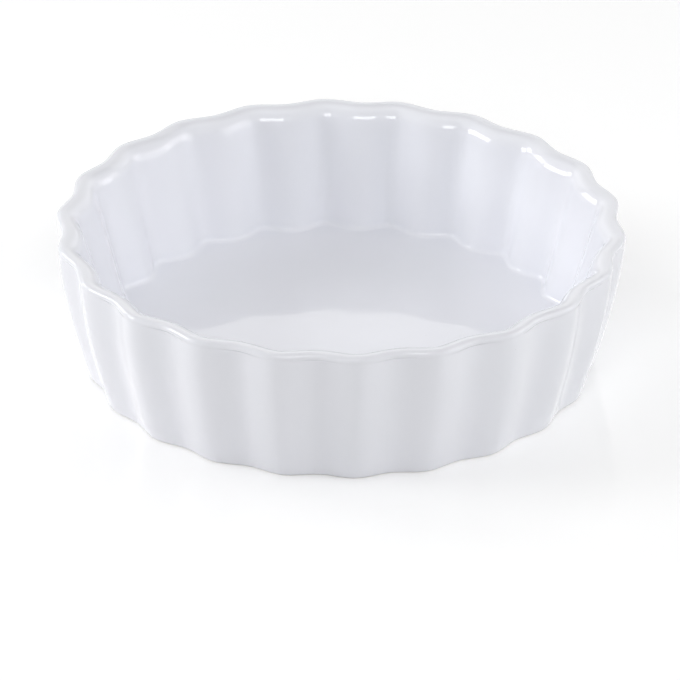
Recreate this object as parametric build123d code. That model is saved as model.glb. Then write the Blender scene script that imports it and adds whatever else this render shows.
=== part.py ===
"""Deep fluted quiche dish for one portion, in glazed porcelain: one fired piece, open at the top.

Millimetres, +Z up. The origin is the centre of the foot, on the surface that the dish stands on.
A flute crest points along +X. The clay is one ruled loft through closed fluted outlines, which start
where the floor meets the inner corner, climb the inside, roll over the rim and down the outside, and
end where the heel meets the foot. Only the recess under the base is cut from it.
"""
from build123d import *
from math import asin, atan, atan2, cos, degrees, hypot, radians, sin, sqrt, tan
import os

# Overall sizes, over the flute crests of the rim and from the table to the rim
overall_diameter = 120.0
overall_height = 31.5
flute_count = 22

# Flutes outside, crest to valley: in the rim, under its lip and at the foot
rim_flute_depth = 1.55
shoulder_flute_depth = 2.1
foot_flute_depth = 1.4
shoulder_drop = 2.1

# Flutes inside, crest to valley: under the rounded lip and at the floor, fading fast above the floor
lip_flute_depth = 1.5
floor_flute_depth = 2.6
fade_power_share = 2.0

# Radius of a valley's arc over that of a crest's arc: even outside, narrow crests inside
outside_arc_share = 1.0
inside_arc_share = 1.7

# The outside stands back under the lip, then tucks in towards the foot
lip_projection = 0.35
foot_inset = 6.0
tuck_power_share = 1.6

# Rim: a tight edge outside and a wide rounding inside
rim_edge_radius = 0.9
rim_inside_radius = 4.0

# Clay where the inside wall meets the floor, and under the floor
base_wall_thickness = 6.3
floor_thickness = 4.4

# Roundings: inner corner above the floor, and heel where the wall turns under
inner_corner_radius = 1.4
heel_radius = 0.9

# Foot ring: a recess turned under the base leaves it standing, with a sloping side and a broken edge
foot_ring_width = 2.5
base_recess_depth = 1.3
recess_side_slope = 0.6
ring_edge_break = 0.35

# Bands of the loft in each rounding and on each side of the wall
corner_band_count = 2
inside_band_count = 4
rim_inside_band_count = 3
rim_edge_band_count = 3
outside_band_count = 3
heel_band_count = 2

floor_height = base_recess_depth + floor_thickness
shoulder_height = overall_height - shoulder_drop
rim_mean_radius = (overall_diameter - rim_flute_depth) / 2
rim_top_radius = rim_mean_radius - rim_edge_radius
edge_centre_height = overall_height - rim_edge_radius
inside_centre_height = overall_height - rim_inside_radius
half_flute_angle = 180 / flute_count

def outer_radius(height):
    """Mean radius of the outside below the lip."""
    tuck = foot_inset * (1 - height / edge_centre_height) ** tuck_power_share
    return rim_mean_radius - lip_projection - tuck

def lean(height):
    """Angle in degrees between the outside and the upright at a height."""
    slope = foot_inset * tuck_power_share / edge_centre_height
    return degrees(atan(slope * (1 - height / edge_centre_height) ** (tuck_power_share - 1)))

def outer_row(height):
    """Mean radius, flute depth, arc share and height of an outline on the outside wall."""
    deepening = (shoulder_flute_depth - foot_flute_depth) * height / shoulder_height
    return outer_radius(height), foot_flute_depth + deepening, outside_arc_share, height

# The inside wall is straight: it leaves the wide rounding of the rim at a tangent and ends at the floor
inside_floor_radius = outer_radius(floor_height) - base_wall_thickness
centre_rise = inside_centre_height - floor_height
centre_run = rim_top_radius - inside_floor_radius
centre_distance = hypot(centre_run, centre_rise)
inside_lean = 90 - degrees(atan2(centre_rise, centre_run) + asin(rim_inside_radius / centre_distance))
lip_height = inside_centre_height + rim_inside_radius * sin(radians(inside_lean))

def inner_row(height):
    """Mean radius, flute depth, arc share and height of an outline on the inside wall."""
    fade = ((lip_height - height) / (lip_height - floor_height)) ** fade_power_share
    depth = lip_flute_depth + (floor_flute_depth - lip_flute_depth) * fade
    radius = inside_floor_radius + (height - floor_height) * tan(radians(inside_lean))
    return radius, depth, inside_arc_share, height

def evenly_spaced(start, end, bands):
    """Values from the start to the end, both included, that part the stretch into bands."""
    return [start + (end - start) * band / bands for band in range(bands + 1)]

def rounding_rows(wall_row, radius, wall_angle, bands):
    """Rows down a rounding, from its tangent on the wall to its tangent on a level face below."""
    mean_radius, depth, arc_share, height = wall_row
    centre_radius = mean_radius - radius * cos(radians(wall_angle))
    centre_height = height - radius * sin(radians(wall_angle))
    rows = []
    for turn in evenly_spaced(wall_angle, -90, bands):
        across = centre_radius + radius * cos(radians(turn))
        rows.append((across, depth, arc_share, centre_height + radius * sin(radians(turn))))
    return rows

def rim_rows():
    """Rows over the rim: up its wide rounding from the inside wall, then down its tight outer edge."""
    inside_turns = evenly_spaced(180 - inside_lean, 90, rim_inside_band_count)
    edge_turns = evenly_spaced(90, 0, rim_edge_band_count)
    places = [(turn, rim_inside_radius, inside_centre_height) for turn in inside_turns[:-1]]
    places += [(turn, rim_edge_radius, edge_centre_height) for turn in edge_turns]
    wall_radius, wall_depth, wall_share, height = inner_row(lip_height)
    rows = []
    for turn, radius, centre_height in places:
        mean_radius = rim_top_radius + radius * cos(radians(turn))
        across_share = (mean_radius - wall_radius) / (rim_mean_radius - wall_radius)
        depth = wall_depth + (rim_flute_depth - wall_depth) * across_share
        arc_share = wall_share + (outside_arc_share - wall_share) * across_share
        rows.append((mean_radius, depth, arc_share, centre_height + radius * sin(radians(turn))))
    return rows

def flute_outline(mean_radius, depth, arc_share, height):
    """One closed wave: in each flute a crest arc and a valley arc, tangent end to end."""
    crest = mean_radius + depth / 2
    valley = mean_radius - depth / 2
    spread = cos(radians(half_flute_angle))
    gap_squared = crest ** 2 + valley ** 2 - 2 * crest * valley * spread
    # The arcs touch when their centres lie the sum of their radii apart, which gives this quadratic's root
    square_term = 2 * arc_share * (1 - spread)
    linear_term = 2 * (crest * (1 + spread * arc_share) - valley * (arc_share + spread))
    crest_arc = (sqrt(linear_term ** 2 + 4 * square_term * gap_squared) - linear_term) / (2 * square_term)
    crest_centre = Vector(crest - crest_arc, 0)
    valley_centre = Vector(valley + crest_arc * arc_share, 0).rotate(Axis.Z, half_flute_angle)
    touch = crest_centre + (valley_centre - crest_centre) * (1 / (1 + arc_share))
    touch_angle = degrees(atan2(touch.Y, touch.X))

    def point(radius, angle):
        return Vector(radius, 0, height).rotate(Axis.Z, angle)

    arcs = []
    for flute in range(flute_count):
        middle = 2 * half_flute_angle * flute
        start = point(touch.length, middle - touch_angle)
        meeting = point(touch.length, middle + touch_angle)
        end = point(touch.length, middle + 2 * half_flute_angle - touch_angle)
        arcs.append(Edge.make_three_point_arc(start, point(crest, middle), meeting))
        arcs.append(Edge.make_three_point_arc(meeting, point(valley, middle + half_flute_angle), end))
    return Wire(arcs)

def fluted_clay():
    """The inner corner, inside wall, rim, outside wall and heel, closed by the floor and the foot."""
    corner_top = floor_height + inner_corner_radius * (1 - sin(radians(inside_lean)))
    heel_lean = lean(heel_radius)
    heel_top = heel_radius * (1 - sin(radians(heel_lean)))
    corner = rounding_rows(inner_row(corner_top), inner_corner_radius, -inside_lean, corner_band_count)
    heel = rounding_rows(outer_row(heel_top), heel_radius, -heel_lean, heel_band_count)
    inside = [inner_row(height) for height in evenly_spaced(corner_top, lip_height, inside_band_count)]
    outside = [outer_row(height) for height in evenly_spaced(shoulder_height, heel_top, outside_band_count)]
    rows = corner[::-1] + inside[1:-1] + rim_rows() + outside[:-1] + heel
    return Solid.make_loft([flute_outline(*row) for row in rows], ruled=True), heel[-1]

def base_recess(foot_radius):
    """The air inside the foot ring: a shallow disc with a sloping side and a broken lower edge."""
    ring_inside = foot_radius - foot_ring_width
    profile = Polyline(
        (0, 0),
        (ring_inside, 0),
        (ring_inside - ring_edge_break, ring_edge_break),
        (ring_inside - ring_edge_break - recess_side_slope, base_recess_depth),
        (0, base_recess_depth),
        close=True,
    )
    return revolve(make_face(Plane.XZ * profile), Axis.Z)

clay, foot_row = fluted_clay()
foot_mean_radius, foot_depth = foot_row[:2]
dish = clay - base_recess(foot_mean_radius - foot_depth / 2)

dish.label = "dish"
os.makedirs("parts", exist_ok=True)
export_step(dish, "parts/dish.step")
print("dish", dish.is_valid, round(dish.volume), dish.bounding_box().size)
print("clay under the lip", round(rim_mean_radius - inner_row(lip_height)[0], 2), "mm")
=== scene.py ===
# %% [markdown]
# # A fluted quiche dish in white glazed porcelain
# The dish is one fired piece: a wall pressed into flutes, a flat floor and a low foot ring. Its sizes
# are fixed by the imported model, so the lesson starts by loading that model. It then models the dish as
# a smooth mesh, gives it a glaze, and sets it on a white table under soft lamps.

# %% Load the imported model
import math
import bmesh
import bpy
from mathutils import Matrix, Vector


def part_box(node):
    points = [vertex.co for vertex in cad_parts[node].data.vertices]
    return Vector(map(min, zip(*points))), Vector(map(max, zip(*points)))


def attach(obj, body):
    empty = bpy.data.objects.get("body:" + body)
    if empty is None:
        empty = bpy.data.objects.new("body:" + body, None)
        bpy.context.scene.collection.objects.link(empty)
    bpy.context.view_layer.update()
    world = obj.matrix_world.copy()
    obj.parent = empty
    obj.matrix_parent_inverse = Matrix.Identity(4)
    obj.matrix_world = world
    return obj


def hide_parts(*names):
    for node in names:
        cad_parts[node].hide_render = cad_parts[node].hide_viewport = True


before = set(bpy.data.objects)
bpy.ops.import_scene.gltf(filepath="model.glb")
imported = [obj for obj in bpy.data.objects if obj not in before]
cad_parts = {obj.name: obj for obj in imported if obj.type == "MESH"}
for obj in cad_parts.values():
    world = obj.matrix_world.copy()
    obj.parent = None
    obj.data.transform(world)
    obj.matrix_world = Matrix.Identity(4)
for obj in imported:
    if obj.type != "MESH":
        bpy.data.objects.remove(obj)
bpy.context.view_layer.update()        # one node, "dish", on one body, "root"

low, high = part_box("dish")
print("packed dish, size in metres:", [round(size, 4) for size in high - low])

# %% [markdown]
# ## The sizes of the dish
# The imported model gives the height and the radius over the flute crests. The other sizes are those of
# the clay. The rim has a tight edge outside and a broad rounding inside, which runs into a straight
# wall. Outside, the flutes are shallow at the foot and deepest under the lip. Inside it is the other way
# round: they are shallow under the lip and deepest at the floor, with narrow crests and wide valleys,
# because the clay between them is thick. The sizes are written once here, in metres, and functions give
# the shape at any height, which is easier to change than a long list of points.

# %% Sizes of the clay
height = high.z
crest_radius = high.x
flutes = 22
rim_flute = 0.00155
shoulder_flute = 0.0021
foot_flute = 0.0014
lip_flute = 0.0015
floor_flute = 0.0026
fade_power = 2
valley_to_crest_inside = 1.7
shoulder_drop = 0.0021
lip_stand = 0.00035
foot_inset = 0.006
tuck_power = 1.6
edge_radius = 0.0009
rounding_radius = 0.004
base_wall = 0.0063
floor_height = 0.0057
corner_radius = 0.0014
heel_radius = 0.0009
ring_width = 0.0025
recess_depth = 0.0013

rim_mean = crest_radius - rim_flute / 2
rim_top = rim_mean - edge_radius
edge_middle = height - edge_radius
rounding_middle = height - rounding_radius
shoulder = height - shoulder_drop


def outer_radius(z):
    """Radius of the outside below the lip, midway between crest and valley."""
    return rim_mean - lip_stand - foot_inset * (1 - z / edge_middle) ** tuck_power


def flute_depth(z):
    """Crest to valley on the outside."""
    return foot_flute + (shoulder_flute - foot_flute) * min(z, shoulder) / shoulder


print("outer radius at foot and lip:", round(outer_radius(0), 5), round(outer_radius(edge_middle), 5))

# %% [markdown]
# ## The straight inside wall
# The wall leaves the rim's rounding at a tangent and reaches the floor where the clay is as thick as it
# should be there. The distance from that place to the middle of the rounding gives the lean of the wall.

# %% Lean of the inside wall
inside_at_floor = outer_radius(floor_height) - base_wall
run = rim_top - inside_at_floor
rise = rounding_middle - floor_height
to_rounding = math.hypot(run, rise)
inside_lean = 90 - math.degrees(math.atan2(rise, run) + math.asin(rounding_radius / to_rounding))
lip_height = rounding_middle + rounding_radius * math.sin(math.radians(inside_lean))


def inner_radius(z):
    """Radius of the inside wall, midway between crest and valley."""
    return inside_at_floor + (z - floor_height) * math.tan(math.radians(inside_lean))


def inner_depth(z):
    """Crest to valley on the inside, most of all at the floor."""
    fade = ((lip_height - z) / (lip_height - floor_height)) ** fade_power
    return lip_flute + (floor_flute - lip_flute) * fade


print("inside wall leans", round(inside_lean, 1), "degrees")
print("clay under the lip:", round(rim_mean - inner_radius(lip_height), 5))

# %% [markdown]
# ## The profile, ring by ring
# A potter would throw a plain dish first and press the flutes afterwards. The mesh is made the same
# way: a circle is extruded from ring to ring along the profile, and the flutes are pressed in later.
# A Subdivision Surface smooths the rings, and pulls a curve in towards its middle. A rounding is
# therefore drawn a little larger than it ends up: the surface of a regular polygon of rings lies at
# (2 + cos step) / 3 of its radius. That would put the end of a rounding slightly past the level face
# that it runs into, so this end is moved back onto the face. A ring is written as radius, height, flute
# depth and how many times wider its valleys are than its crests.

# %% Rings of the outside wall, the heel and the inner corner
def arc_places(middle_radius, middle_height, radius, start, end, steps):
    """Radii and heights round a rounding, drawn larger so that the smoothed one has the radius given."""
    step = (end - start) / steps
    drawn = radius * 3 / (2 + math.cos(math.radians(step)))
    places = []
    for number in range(steps + 1):
        turn = math.radians(start + step * number)
        places.append((middle_radius + drawn * math.cos(turn), middle_height + drawn * math.sin(turn)))
    return places


heel_steps = 4
corner_steps = 4
outside_heights = [0.002, 0.0045, 0.008, 0.012, 0.0165, 0.021, 0.025, 0.0278, shoulder, 0.0298]
inside_heights = [0.0255, 0.022, 0.0185, 0.015, 0.012, 0.0095, 0.0078]

tuck_at_heel = (1 - heel_radius / edge_middle) ** (tuck_power - 1)
slope_at_heel = foot_inset * tuck_power / edge_middle * tuck_at_heel
heel_lean = math.degrees(math.atan(slope_at_heel))
heel_top = heel_radius * (1 - math.sin(math.radians(heel_lean)))
heel_middle = outer_radius(heel_top) - heel_radius * math.cos(math.radians(heel_lean))
corner_top = floor_height + corner_radius * (1 - math.sin(math.radians(inside_lean)))
corner_middle = inner_radius(corner_top) - corner_radius * math.cos(math.radians(inside_lean))

heel_places = arc_places(heel_middle, heel_radius, heel_radius, -90, -heel_lean, heel_steps)
heel = [place + (foot_flute, 1) for place in heel_places]
heel[0] = (heel_middle, 0, foot_flute, 1)
outside = [(outer_radius(z), z, flute_depth(z), 1) for z in outside_heights]
inside = [(inner_radius(z), z, inner_depth(z), valley_to_crest_inside) for z in inside_heights]
corner_places = arc_places(corner_middle, floor_height + corner_radius, corner_radius,
                           -inside_lean, -90, corner_steps)
corner = [place + (floor_flute, valley_to_crest_inside) for place in corner_places]
corner[-1] = (corner_middle, floor_height, floor_flute, valley_to_crest_inside)
print("rings in heel, outside, inside and corner:", len(heel), len(outside), len(inside), len(corner))

# %% [markdown]
# ## The rim
# The tight edge starts a little under the lip, 25 degrees below the level of its middle, and goes up to
# the top. The broad rounding goes on from there to the inside wall. Across the rim the flutes change
# from the even outer wave to the inner wave with its narrow crests.

# %% Rings of the rim
under_lip = -25
rim_steps = 5
edge = arc_places(rim_top, edge_middle, edge_radius, under_lip, 90, rim_steps)
rounding = arc_places(rim_top, rounding_middle, rounding_radius, 90, 180 - inside_lean, rim_steps)
rim = []
for radius, z in edge[:-1] + rounding:
    inwards = max(0, rim_mean - radius) / (rim_mean - inner_radius(lip_height))
    depth = rim_flute + (lip_flute - rim_flute) * inwards
    rim.append((radius, z, depth, 1 + (valley_to_crest_inside - 1) * inwards))
print("rings in the rim:", len(rim))

# %% [markdown]
# ## Under the dish
# Such a dish stands on a narrow foot ring, with a shallow recess turned inside it. The recess keeps the
# hot base off the table, and only the ring has to be ground flat. Two rings close together make the
# smoothed surface turn sharply there, and rings far apart leave it soft. The floor inside is flat, so
# it only needs a few wide rings.

# %% Rings of the underside and the floor
ring_inside = heel_middle - foot_flute / 2 - ring_width
recess_radii = (0.010, 0.030)
floor_radii = (0.0440, 0.0410, 0.0270, 0.010)
ring_steps = [
    # how far outside the foot ring's inner edge, and how high
    (-0.0030, recess_depth),
    (-0.0012, recess_depth),
    (-0.0005, recess_depth * 0.5),
    (-0.0001, 0.00015),
    (0.0004, 0),
    (0.0015, 0),
]
underside = [(radius, recess_depth, 0, 1) for radius in recess_radii]
underside += [(ring_inside + outwards, z, 0, 1) for outwards, z in ring_steps]
floor_rings = [(radius, floor_height, 0, 1) for radius in floor_radii]
rings = underside + heel + outside + rim + inside + corner + floor_rings
print(len(rings), "rings from the middle of the underside to the middle of the floor")

# %% [markdown]
# ## Throwing the plain dish
# The circle has four columns of vertices for each flute: a crest, a flank, a valley and a flank. The
# ring that is selected is extruded up or down to the next height and then scaled about the axis to the
# next radius, which is the same movement for every ring. The two open ends are closed with a face.

# %% Extrude from ring to ring
columns = 4 * flutes
same_place = 0.00001


def select_where(mesh, wanted):
    """Selects the vertices of the mesh in edit mode whose place passes the test."""
    shape = bmesh.from_edit_mesh(mesh)
    for vertex in shape.verts:
        vertex.select = wanted(vertex.co)
    shape.select_flush_mode()
    bmesh.update_edit_mesh(mesh)


def on_ring(place, ring):
    """Whether a vertex of the plain dish lies on the ring."""
    off_radius = abs(math.hypot(place.x, place.y) - ring[0])
    return off_radius < same_place and abs(place.z - ring[1]) < same_place


bpy.ops.object.select_all(action="DESELECT")
bpy.ops.mesh.primitive_circle_add(vertices=columns, radius=rings[0][0], location=(0, 0, rings[0][1]))
bpy.ops.object.transform_apply()
dish = bpy.context.object
dish.name = dish.data.name = "porcelain_dish"
bpy.ops.object.mode_set(mode="EDIT")
for here, there in zip(rings, rings[1:]):
    bpy.ops.mesh.extrude_region_move(TRANSFORM_OT_translate={"value": (0, 0, there[1] - here[1])})
    widen = there[0] / here[0]
    bpy.ops.transform.resize(value=(widen, widen, 1), center_override=(0, 0, 0))
bpy.ops.mesh.edge_face_add()
select_where(dish.data, lambda place: on_ring(place, rings[0]))
bpy.ops.mesh.edge_face_add()
bpy.ops.mesh.select_all(action="SELECT")
bpy.ops.mesh.normals_make_consistent(inside=False)
bpy.ops.object.mode_set(mode="OBJECT")
print("plain dish:", len(dish.data.vertices), "vertices,", len(dish.data.polygons), "faces")

# %% [markdown]
# ## Pressing the flutes
# On every ring of the wall the crest columns are scaled out and the valley columns in, by the flute
# depth of that ring. The smoothing rounds the four columns to a soft wave and keeps two thirds of the
# depth, so an even wave is pressed half as deep again. Where the valleys are wider than the crests, the
# flanks are pressed in as well: that narrows the crests and leaves the depth as it is.

# %% Scale the crest, valley and flank columns
half_press = 1.5 / 2


def column_of(place):
    """Number of the column, counted round from the crest on +X."""
    return round(math.atan2(place.y, place.x) / math.tau * columns) % columns


bpy.ops.object.mode_set(mode="EDIT")
pressed = 0
for ring in rings:
    radius, z, depth, valley_to_crest = ring
    if depth == 0:
        continue
    sunk_flank = (1 - 1 / valley_to_crest) / 4
    out = 1 + (half_press + sunk_flank) * depth / radius
    into = 1 - (half_press - sunk_flank) * depth / radius
    flank = 1 - 2 * sunk_flank * depth / radius
    for column, scale in enumerate((out, flank, into, flank)):
        select_where(dish.data, lambda place: on_ring(place, ring) and column_of(place) % 4 == column)
        bpy.ops.transform.resize(value=(scale, scale, 1), center_override=(0, 0, 0))
        pressed += len([v for v in bmesh.from_edit_mesh(dish.data).verts if v.select])
bpy.ops.object.mode_set(mode="OBJECT")
print("vertices moved for the flutes:", pressed)

# %% [markdown]
# ## Smoothing
# Two levels of Subdivision Surface turn the rings and columns into a smooth skin. The modifier is
# applied, so that the finished mesh is the shape itself.

# %% Apply a Subdivision Surface
smooth = dish.modifiers.new("smooth", "SUBSURF")
smooth.levels = smooth.render_levels = 2
bpy.ops.object.modifier_apply(modifier=smooth.name)
bpy.ops.object.shade_smooth()
smooth_size = [round(size, 4) for size in dish.dimensions]
print("smooth dish:", len(dish.data.polygons), "faces, size", smooth_size)

# %% [markdown]
# ## The glaze
# Glazed porcelain is white clay under a skin of glass. The colour comes from the clay, a little cool,
# and the gloss from the glass. Painted shade makes the colour greyer on the top of the rim, and painted
# shade makes it a little darker in the inner corner. The glaze's surface rolls very slightly and has a
# few pinholes. The foot ring is wiped clean of glaze before firing, so it is bare, matt and a little
# rough. All of this follows the dish's own coordinates, so it stays in place when the dish moves. A
# material is a tree of nodes, and four short helpers keep such a tree readable.

# %% Helpers for materials
def new_material(name):
    """An empty node material, and a function that adds a node with its settings and inputs."""
    material = bpy.data.materials.new(name)
    material.use_nodes = True
    tree = material.node_tree
    tree.nodes.clear()
    output = tree.nodes.new("ShaderNodeOutputMaterial")

    def node(kind, inputs=None, **settings):
        made = tree.nodes.new("ShaderNode" + kind)
        for setting, value in settings.items():
            setattr(made, setting, value)
        for socket, value in (inputs or {}).items():
            if isinstance(value, bpy.types.NodeSocket):
                tree.links.new(value, made.inputs[socket])
            else:
                made.inputs[socket].default_value = value
        return made

    return material, node, output, tree


def ramp(node, value, start, end):
    """A smooth step of the value: 0 before start, 1 after end."""
    limits = {"Value": value, "From Min": start, "From Max": end}
    return node("MapRange", limits, interpolation_type="SMOOTHSTEP").outputs["Result"]


def times(node, first, second):
    """The product of two values."""
    return node("Math", {0: first, 1: second}, operation="MULTIPLY").outputs[0]


def blend_colour(node, share, first, second):
    """The first colour, turning to the second as the share rises."""
    mix = node("Mix", {0: share, 6: first, 7: second}, data_type="RGBA")
    return mix.outputs[2]


print("helpers for materials:", [helper.__name__ for helper in (new_material, ramp, times, blend_colour)])

# %% [markdown]
# ## Where the colour changes
# Every change of the colour has a tone and a pair of limits, between which a smooth step brings it in.
# The limits of the painted shade on the rim top, of the painted shade in the inner corner and of the
# wiped foot are heights and radii in metres. The outside wall has the inner corner's height too, so the
# corner shade also needs a limit on the radius. The clouds and pinholes come from noise, whose scale
# says how many fit into a metre.

# %% Tones, limits and scales of the glaze
glaze_tone = (0.85, 0.857, 0.905, 1)
cloud_tone = (0.835, 0.846, 0.892, 1)
# The next tone is painted shade: the top of the rim greyer than the rest of the dish.
rim_shade_tone = (0.755, 0.763, 0.805, 1)
# The next tone is painted shade: darker in the inner corner between floor and wall.
corner_shade_tone = (0.80, 0.815, 0.87, 1)
pinhole_tone = (0.62, 0.61, 0.60, 1)
bare_tone = (0.74, 0.725, 0.70, 1)

cloud_scale = 28
cloud_limits = (0.42, 0.68)
# Where the painted shade on the rim top comes in, and how much of it.
rim_shade_limits = (height - 0.0008, height)
rim_shade_share = 0.8
# Where the painted shade in the inner corner comes in: near the floor, near the wall, above the underside
# and inside the wall.
corner_shade_height_limits = (floor_height + 0.0025, floor_height)
corner_shade_radius_limits = (corner_middle - 0.004, corner_middle + 0.0015)
under_corner_shade_limits = (floor_height - 0.0005, floor_height - 0.00025)
outside_corner_shade_limits = (inside_at_floor + 0.004, inside_at_floor + 0.003)
corner_shade_share = 0.4
pinhole_scale = 380
pinhole_choice_limits = (0.965, 0.975)
pinhole_size_limits = (0.055, 0.02)
pinhole_share = 0.5
wiped_limits = (0.00035, 0.00015)
# Printed: the height where the painted shade on the rim top starts, and where the bare clay ends.
print("thin glaze above", round(rim_shade_limits[0], 4), "and bare clay below", wiped_limits[0])

# %% [markdown]
# ## Mixing the glaze
# The tone starts as one cool white. Broad cloudy noise moves it a little, as a glaze that was dipped by
# hand does. Radius and height are worked out from the object coordinates, and bring in the painted
# shade on the rim top, the painted shade in the inner corner and the bare ring. The bump is far smaller
# than the noise that drives it: a tenth of a millimetre is enough to make a reflection roll.

# %% Glaze, bare clay and painted shade in one material
smear_scale = 90
roll_scale = 320
grain_scale = 5200
least_roughness = 0.015
most_roughness = 0.05
bare_roughness = 0.75
bump_height = 0.0001
roll_strength = 0.12
pit_strength = 0.5
grain_strength = 0.6
glaze_ior = 1.5


def glaze_material():
    material, node, output, tree = new_material("white_glaze")
    place = node("TexCoord").outputs["Object"]
    axes = node("SeparateXYZ", {"Vector": place})
    across = node("CombineXYZ", {"X": axes.outputs["X"], "Y": axes.outputs["Y"]})
    radius = node("VectorMath", {0: across.outputs[0]}, operation="LENGTH").outputs["Value"]
    z = axes.outputs["Z"]

    clouds = node("TexNoise", {"Vector": place, "Scale": cloud_scale, "Detail": 3}).outputs["Fac"]
    tone = blend_colour(node, ramp(node, clouds, *cloud_limits), glaze_tone, cloud_tone)
    # Painted shade: greyer on the top of the rim.
    rim_painted_shade = ramp(node, z, *rim_shade_limits)
    tone = blend_colour(node, times(node, rim_painted_shade, rim_shade_share), tone, rim_shade_tone)
    # Painted shade: darker in the inner corner, kept off the outside wall by the radius.
    near_floor = ramp(node, z, *corner_shade_height_limits)
    near_wall = ramp(node, radius, *corner_shade_radius_limits)
    above_base = ramp(node, z, *under_corner_shade_limits)
    inside_wall = ramp(node, radius, *outside_corner_shade_limits)
    corner_shade = times(node, times(node, near_floor, near_wall), times(node, above_base, inside_wall))
    tone = blend_colour(node, times(node, corner_shade, corner_shade_share), tone, corner_shade_tone)

    cells = node("TexVoronoi", {"Vector": place, "Scale": pinhole_scale})
    chosen = node("SeparateColor", {"Color": cells.outputs["Color"]}).outputs["Red"]
    rare = ramp(node, chosen, *pinhole_choice_limits)
    pinhole = times(node, rare, ramp(node, cells.outputs["Distance"], *pinhole_size_limits))
    tone = blend_colour(node, times(node, pinhole, pinhole_share), tone, pinhole_tone)

    wiped = ramp(node, z, *wiped_limits)
    tone = blend_colour(node, wiped, tone, bare_tone)
    smears = node("TexNoise", {"Vector": place, "Scale": smear_scale, "Detail": 4}).outputs["Fac"]
    spread = {"Value": smears, "To Min": least_roughness, "To Max": most_roughness}
    gloss = node("MapRange", spread).outputs["Result"]
    roughness = node("Mix", {0: wiped, 2: gloss, 3: bare_roughness}).outputs[0]

    roll = node("TexNoise", {"Vector": place, "Scale": roll_scale, "Detail": 2}).outputs["Fac"]
    grain = node("TexNoise", {"Vector": place, "Scale": grain_scale, "Detail": 3}).outputs["Fac"]
    rolling = node("Bump", {"Height": roll, "Strength": roll_strength, "Distance": bump_height})
    pitted = node("Bump", {"Height": pinhole, "Strength": pit_strength, "Distance": bump_height,
                           "Normal": rolling.outputs[0]}, invert=True)
    rough = node("Bump", {"Height": times(node, grain, wiped), "Strength": grain_strength,
                          "Distance": bump_height, "Normal": pitted.outputs[0]})
    shader = node("BsdfPrincipled", {"Base Color": tone, "Roughness": roughness,
                                     "Normal": rough.outputs[0], "IOR": glaze_ior})
    tree.links.new(shader.outputs[0], output.inputs["Surface"])
    return material


dish.data.materials.append(glaze_material())
print("glaze nodes:", len(dish.data.materials[0].node_tree.nodes))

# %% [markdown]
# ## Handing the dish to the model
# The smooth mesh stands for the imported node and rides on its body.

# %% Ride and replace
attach(dish, "root")
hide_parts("dish")
print("the dish replaces the packed node")

# %% [markdown]
# ## The table
# The dish stands on a glossy white table that fills the view. What the camera sees of the table is
# white because the material adds a little light for camera rays, more of it away from the dish, and
# the diffuse part keeps the dish's shadow. Mirrored rays get such a light too, so that the glaze shows
# the same white table. A faint sharp gloss near the dish gives the mirror image that such a table has.

# %% A white table with a faint mirror near the dish
table_size = 3.0
mirror_start = 0.053
mirror_end = 0.10
mirror_share = 0.06
mirror_roughness = 0.04
table_tone = (0.80, 0.80, 0.80, 1)
near_end = 0.066
far_start = 0.095
near_lift = 0.235
far_lift = 0.30
mirrored_lift = 0.42


def table_material():
    material, node, output, tree = new_material("white_table")
    place = node("TexCoord").outputs["Object"]
    reach = node("VectorMath", {0: place}, operation="LENGTH").outputs["Value"]
    mirror = times(node, ramp(node, reach, mirror_end, mirror_start), mirror_share)
    matt = node("BsdfDiffuse", {"Color": table_tone})
    gloss = node("BsdfAnisotropic", {"Color": (1, 1, 1, 1), "Roughness": mirror_roughness})
    both = node("MixShader", {0: mirror, 1: matt.outputs[0], 2: gloss.outputs[0]})
    path = node("LightPath").outputs
    far = ramp(node, reach, near_end, far_start)
    seen_lift = node("Mix", {0: far, 2: near_lift, 3: far_lift}).outputs[0]
    to_camera = times(node, path["Is Camera Ray"], seen_lift)
    mirrored = times(node, path["Is Glossy Ray"], mirrored_lift)
    strength = node("Math", {0: to_camera, 1: mirrored}, operation="ADD").outputs[0]
    lift = node("Emission", {"Color": (1, 1, 1, 1), "Strength": strength})
    total = node("AddShader", {0: both.outputs[0], 1: lift.outputs[0]})
    tree.links.new(total.outputs[0], output.inputs["Surface"])
    return material


bpy.ops.mesh.primitive_plane_add(size=table_size, location=(0, 0, 0))
table = bpy.context.object
table.name = table.data.name = "table"
table.data.materials.append(table_material())
print("table", table_size, "m across")

# %% [markdown]
# ## The light
# The photograph was lit like most product pictures: a wide bright screen behind the dish, lamps at each
# side, one overhead, and a soft box above the camera with a weak one beside it. The side lamps from the
# back model the flutes inside and those from the front the flutes outside. A compact lamp shows as a
# small bright spot on the glaze of the rim opposite to it, and a wide one hardly shows, so the low lamps
# are smaller at the left than at the right. The screen gives the pale half moon on the floor. A lamp is
# placed by its direction from the dish, as a photographer would: turned so many degrees from +X, raised
# so many degrees above the table, and so many metres away. The world is white for the camera and in
# mirrored rays, and dark for the rest, so that the lamps alone shape the dish.

# %% World and lamps
lamps = {
    # name: turned, raised, away, wide, tall, watts
    "back_screen": (90, 30, 1.20, 2.40, 0.80, 5.15),
    "left_box": (160, 22, 0.72, 0.23, 0.23, 0.85),
    "right_box": (15, 22, 0.72, 0.36, 0.36, 0.65),
    "left_high": (175, 50, 0.90, 0.80, 0.80, 1.25),
    "right_high": (5, 50, 0.90, 0.80, 0.80, 0.95),
    "left_fill": (187, 20, 0.90, 0.32, 0.32, 3.05),
    "right_fill": (-10, 20, 0.90, 0.70, 0.60, 2.4),
    "front_strip": (-90, 36, 1.00, 0.50, 0.35, 3.25),
    "front_side": (-60, 40, 1.00, 0.45, 0.45, 0.5),
    "top_box": (90, 85, 1.00, 0.60, 0.60, 1.1),
}


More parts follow.
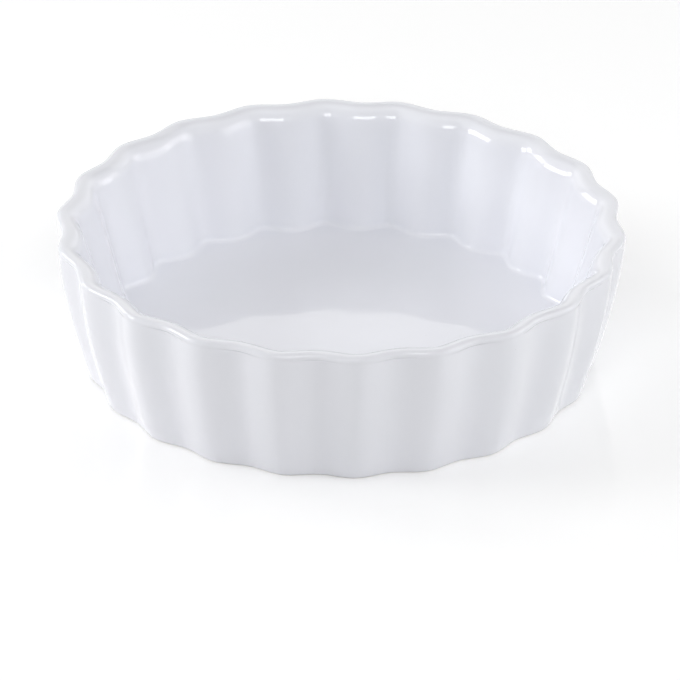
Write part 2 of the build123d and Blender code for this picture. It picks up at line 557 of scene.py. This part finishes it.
def set_world():
    world = bpy.data.worlds.new("white_room")
    bpy.context.scene.world = world
    world.use_nodes = True
    tree = world.node_tree
    tree.nodes.clear()
    path = tree.nodes.new("ShaderNodeLightPath")
    seen = path.outputs["Is Camera Ray"]
    for ray in ("Is Glossy Ray", "Is Transmission Ray"):
        either = tree.nodes.new("ShaderNodeMath")
        either.operation = "MAXIMUM"
        tree.links.new(seen, either.inputs[0])
        tree.links.new(path.outputs[ray], either.inputs[1])
        seen = either.outputs[0]
    background = tree.nodes.new("ShaderNodeBackground")
    tree.links.new(seen, background.inputs["Strength"])
    output = tree.nodes.new("ShaderNodeOutputWorld")
    tree.links.new(background.outputs[0], output.inputs["Surface"])


def soft_box(name, turned, raised, away, wide, tall, watts):
    """A rectangular area lamp that faces the middle of the dish."""
    turn, rise = math.radians(turned), math.radians(raised)
    level = away * math.cos(rise)
    place = Vector((level * math.cos(turn), level * math.sin(turn), away * math.sin(rise)))
    bpy.ops.object.light_add(type="AREA", location=place)
    lamp = bpy.context.object
    lamp.name = lamp.data.name = name
    lamp.data.shape = "RECTANGLE"
    lamp.data.size, lamp.data.size_y = wide, tall
    lamp.data.energy = watts
    towards = Vector((0, 0, height / 2)) - place
    lamp.rotation_euler = towards.to_track_quat("-Z", "Y").to_euler()
    return lamp


set_world()
for name, settings in lamps.items():
    soft_box(name, *settings)

# %% [markdown]
# ## The camera
# A long lens far away gives the photograph's flat perspective. The distance and the lens are worked
# out from the size of the rim in the picture, and the camera is turned so that the middle of the rim
# falls where the photograph has it. Pixels are those of a picture 680 wide and 680 high.

# %% Camera from the rim's place in the picture
picture_side = 680
rim_middle_pixel = (340.4, 222.5)
pixels_per_rim_radius = 282.0
distance_in_rim_radii = 20.8
view_elevation = math.radians(27.2)
view_azimuth = math.radians(4.5)
view_roll = math.radians(0.35)
sensor_width = 36.0
farthest_seen = 20

rim_middle_point = Vector((0, 0, height))
distance = distance_in_rim_radii * rim_mean
focal_pixels = pixels_per_rim_radius * distance_in_rim_radii
backwards = Vector((
    math.cos(view_elevation) * math.sin(view_azimuth),
    -math.cos(view_elevation) * math.cos(view_azimuth),
    math.sin(view_elevation),
))
bpy.ops.object.camera_add(location=rim_middle_point + backwards * distance)
camera = bpy.context.object
camera.name = "camera"
camera.data.sensor_width = sensor_width
camera.data.lens = focal_pixels / picture_side * sensor_width
half = picture_side / 2
pan = math.atan((rim_middle_pixel[0] - half) / focal_pixels)
tilt = math.atan((rim_middle_pixel[1] - half) / focal_pixels)
looking = (-backwards).to_track_quat("-Z", "Y").to_matrix().to_4x4()
turned = looking @ Matrix.Rotation(view_roll, 4, "Z") @ Matrix.Rotation(pan, 4, "Y")
turned = turned @ Matrix.Rotation(tilt, 4, "X")
camera.rotation_euler = turned.to_euler()
camera.data.clip_end = farthest_seen
bpy.context.scene.camera = camera
bpy.context.scene.view_settings.view_transform = "Standard"
print("lens", round(camera.data.lens, 1), "mm at", round(distance, 2), "m")
